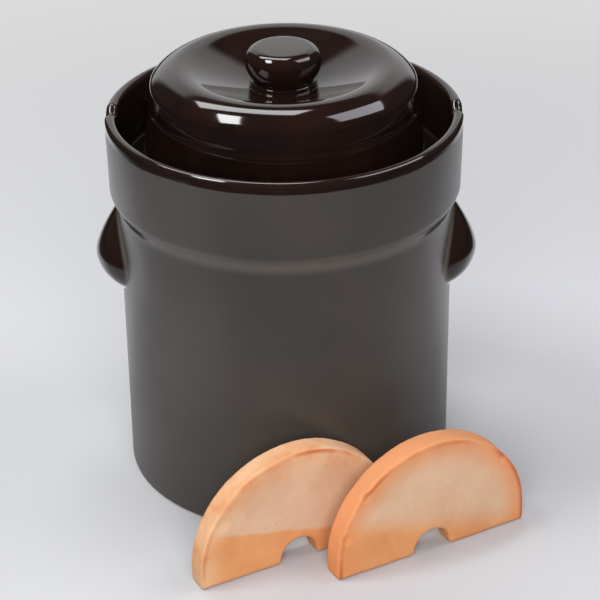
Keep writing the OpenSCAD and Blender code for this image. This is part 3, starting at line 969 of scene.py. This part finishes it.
def paper_colour(tree, at, path):
    parts = add(tree, "ShaderNodeSeparateXYZ", {0: at}).outputs
    across, depth = parts[0], parts[1]
    lit_left = times(tree, mask(tree, across, *LIT_ACROSS), mask(tree, depth, *LIT_DEPTH))
    front = times(tree, mask(tree, depth, *FRONT_DEPTH), maths(tree, "SUBTRACT", 1.0, lit_left))
    sides = mask(tree, maths(tree, "ABSOLUTE", across), *SIDE_ACROSS)
    mirrored = path["Is Glossy Ray"]
    paper = blend_colours(tree, path["Is Camera Ray"], PAPER_LIT, PAPER_SEEN)
    # Painted light: behind the pot, mirrored rays see the paper painted white.
    painted_light_behind = times(tree, mirrored, mask(tree, depth, *BEHIND_DEPTH))
    paper = blend_colours(tree, painted_light_behind, paper, PAPER_PAINTED_WHITE)
    unlit = times(tree, mirrored, maths(tree, "MAXIMUM", front, sides))
    return blend_colours(tree, unlit, paper, PAPER_UNLIT)


print("the far background shows as", PAPER)

# %% [markdown]
# The floor is one large square, so that its edges are far out of view. The haze is an emission that only
# the camera sees, so it lights nothing.

# %% The floor
FLOOR_HALF, FLOOR_ROUGH = 6.0, 0.9
HAZE_REACH = (0.3, 1.2)

def make_paper():
    material, tree, skin = new_material("pale floor")
    at = add(tree, "ShaderNodeTexCoord").outputs["Object"]
    path = add(tree, "ShaderNodeLightPath").outputs
    tree.links.new(paper_colour(tree, at, path), skin.inputs["Base Color"])
    skin.inputs["Roughness"].default_value = FLOOR_ROUGH
    skin.inputs["Specular IOR Level"].default_value = 0.0
    away = add(tree, "ShaderNodeVectorMath", {0: at}, operation="LENGTH").outputs["Value"]
    far = times(tree, mask(tree, away, *HAZE_REACH), path["Is Camera Ray"])
    haze = add(tree, "ShaderNodeEmission", {"Color": (PAPER, PAPER, PAPER, 1.0)})
    both = add(tree, "ShaderNodeMixShader", {0: far, 1: skin.outputs[0], 2: haze.outputs[0]})
    tree.links.new(both.outputs[0], tree.nodes["Material Output"].inputs["Surface"])
    material.cycles.emission_sampling = "NONE"
    return material


def make_floor():
    bm = bmesh.new()
    bmesh.ops.create_grid(bm, x_segments=1, y_segments=1, size=FLOOR_HALF)
    mesh = bpy.data.meshes.new("studio_floor")
    bm.to_mesh(mesh)
    bm.free()
    floor = bpy.data.objects.new("studio_floor", mesh)
    bpy.context.scene.collection.objects.link(floor)
    mesh.materials.append(make_paper())


make_floor()
print("the floor is", 2 * FLOOR_HALF, "m wide")

# %% [markdown]
# A soft box at the left, a larger one at the right and a strip overhead make the three bright patches on
# the lid. A broad fill in front lights the stones and the pot's wall. Mirrored rays don't see it, because
# the lid in the photograph shows no such light. Three of the lamps are placed by the angles at which the
# lid sees them, because a highlight on gloss is only a matter of angles.

# %% The lamps
LID_TOP = Vector((0, 0, 0.31))
POT_MIDDLE = Vector((0, 0, 0.15))
STRIP_PLACE, STRIP_AIM = Vector((-0.38, 0.516, 1.62)), Vector((-0.38, 0.516, 0))
COOL_WHITE = (0.93, 0.91, 1.0)

def hang_lamp(name, place, aim, size, turn, power):
    """A soft box that looks at a point; turn rolls it about its own axis, in degrees."""
    data = bpy.data.lights.new(name, "AREA")
    data.shape = "RECTANGLE"
    data.size, data.size_y = size
    data.energy = power
    lamp = bpy.data.objects.new(name, data)
    bpy.context.scene.collection.objects.link(lamp)
    facing = (place - aim).to_track_quat("Z", "Y").to_matrix().to_4x4()
    lamp.matrix_world = Matrix.Translation(place) @ facing @ Matrix.Rotation(math.radians(turn), 4, "Z")
    print(name, "hangs", round(place.z, 2), "m up and gives", power, "W")
    return lamp


def from_lid(azimuth, elevation, distance):
    """A place seen from the lid. Azimuth 0 is towards the camera and 90 is to the right."""
    a, e = math.radians(azimuth), math.radians(elevation)
    way = Vector((math.sin(a) * math.cos(e), -math.cos(a) * math.cos(e), math.sin(e)))
    return LID_TOP + way * distance


left_place = from_lid(azimuth=-76, elevation=60, distance=1.6)
hang_lamp("left_soft_box", left_place, LID_TOP, size=(0.62, 0.36), turn=-35, power=14)
right_place = from_lid(azimuth=95, elevation=51, distance=1.5)
right_box = hang_lamp("right_soft_box", right_place, LID_TOP, size=(0.92, 0.56), turn=-45, power=9)
right_box.data.color = COOL_WHITE
hang_lamp("strip_overhead", STRIP_PLACE, STRIP_AIM, size=(1.12, 0.4), turn=-17, power=12)
fill_place = from_lid(azimuth=0, elevation=26, distance=2.2)
fill = hang_lamp("front_fill", fill_place, POT_MIDDLE, size=(1.6, 1.2), turn=0, power=42)
fill.visible_glossy = False

# %% [markdown]
# The room itself is dim, but for a low pale wall behind the pot, which greys the lid's dish. It is part of
# the world, as a few soft limits on the way a ray is going. The camera sees the same even grey everywhere.

# %% The world
WALL_ACROSS, WALL_DEPTH, WALL_UP = (0.56, 0.44), (0.0, 0.4), (0.70, 0.61)
WALL_LIGHT, ROOM_LIGHT = 0.95, 0.05

def make_world():
    world = bpy.data.worlds.new("studio")
    bpy.context.scene.world = world
    world.use_nodes = True
    tree = world.node_tree
    back = tree.nodes["Background"]
    back.inputs["Color"].default_value = (1.0, 1.0, 1.0, 1.0)
    going = add(tree, "ShaderNodeTexCoord").outputs["Generated"]
    way = add(tree, "ShaderNodeSeparateXYZ", {0: going}).outputs
    wall = times(tree, mask(tree, way[1], *WALL_DEPTH), mask(tree, way[2], *WALL_UP))
    wall = times(tree, wall, mask(tree, maths(tree, "ABSOLUTE", way[0]), *WALL_ACROSS))
    light = maths(tree, "MULTIPLY_ADD", wall, WALL_LIGHT, ROOM_LIGHT)
    seen = add(tree, "ShaderNodeLightPath").outputs["Is Camera Ray"]
    tree.links.new(blend_values(tree, seen, light, PAPER), back.inputs["Strength"])


make_world()
print("the wall behind gives", WALL_LIGHT + ROOM_LIGHT, "and the rest of the room", ROOM_LIGHT)

# %% [markdown]
# The camera stands where a fit to the photograph puts it. The shape of the ellipses of rim and foot tells
# how steeply it looks down, and how that shape changes with height tells how far away it is. The picture is
# a little off level, so the camera also has a small roll.

# %% The camera
CAMERA_PLACE = Vector((0.01003, -1.3926, 0.8973))
CAMERA_DOWN, CAMERA_ROLL = math.radians(28.876), math.radians(-0.736)
LENS, SENSOR = 122.918, 36.0

def make_camera():
    right = Vector((1, 0, 0))
    up = Vector((0, math.sin(CAMERA_DOWN), math.cos(CAMERA_DOWN)))
    ahead = Vector((0, math.cos(CAMERA_DOWN), -math.sin(CAMERA_DOWN)))
    x_axis = right * math.cos(CAMERA_ROLL) + up * math.sin(CAMERA_ROLL)
    y_axis = up * math.cos(CAMERA_ROLL) - right * math.sin(CAMERA_ROLL)
    data = bpy.data.cameras.new("camera")
    data.lens = LENS
    data.sensor_width = SENSOR
    camera = bpy.data.objects.new("camera", data)
    bpy.context.scene.collection.objects.link(camera)
    turn = Matrix((x_axis, y_axis, -ahead)).transposed().to_4x4()
    camera.matrix_world = Matrix.Translation(CAMERA_PLACE) @ turn
    bpy.context.scene.camera = camera


make_camera()
bpy.context.scene.view_settings.view_transform = "Standard"
print("the camera is", round(CAMERA_PLACE.length, 2), "m from the pot's foot")
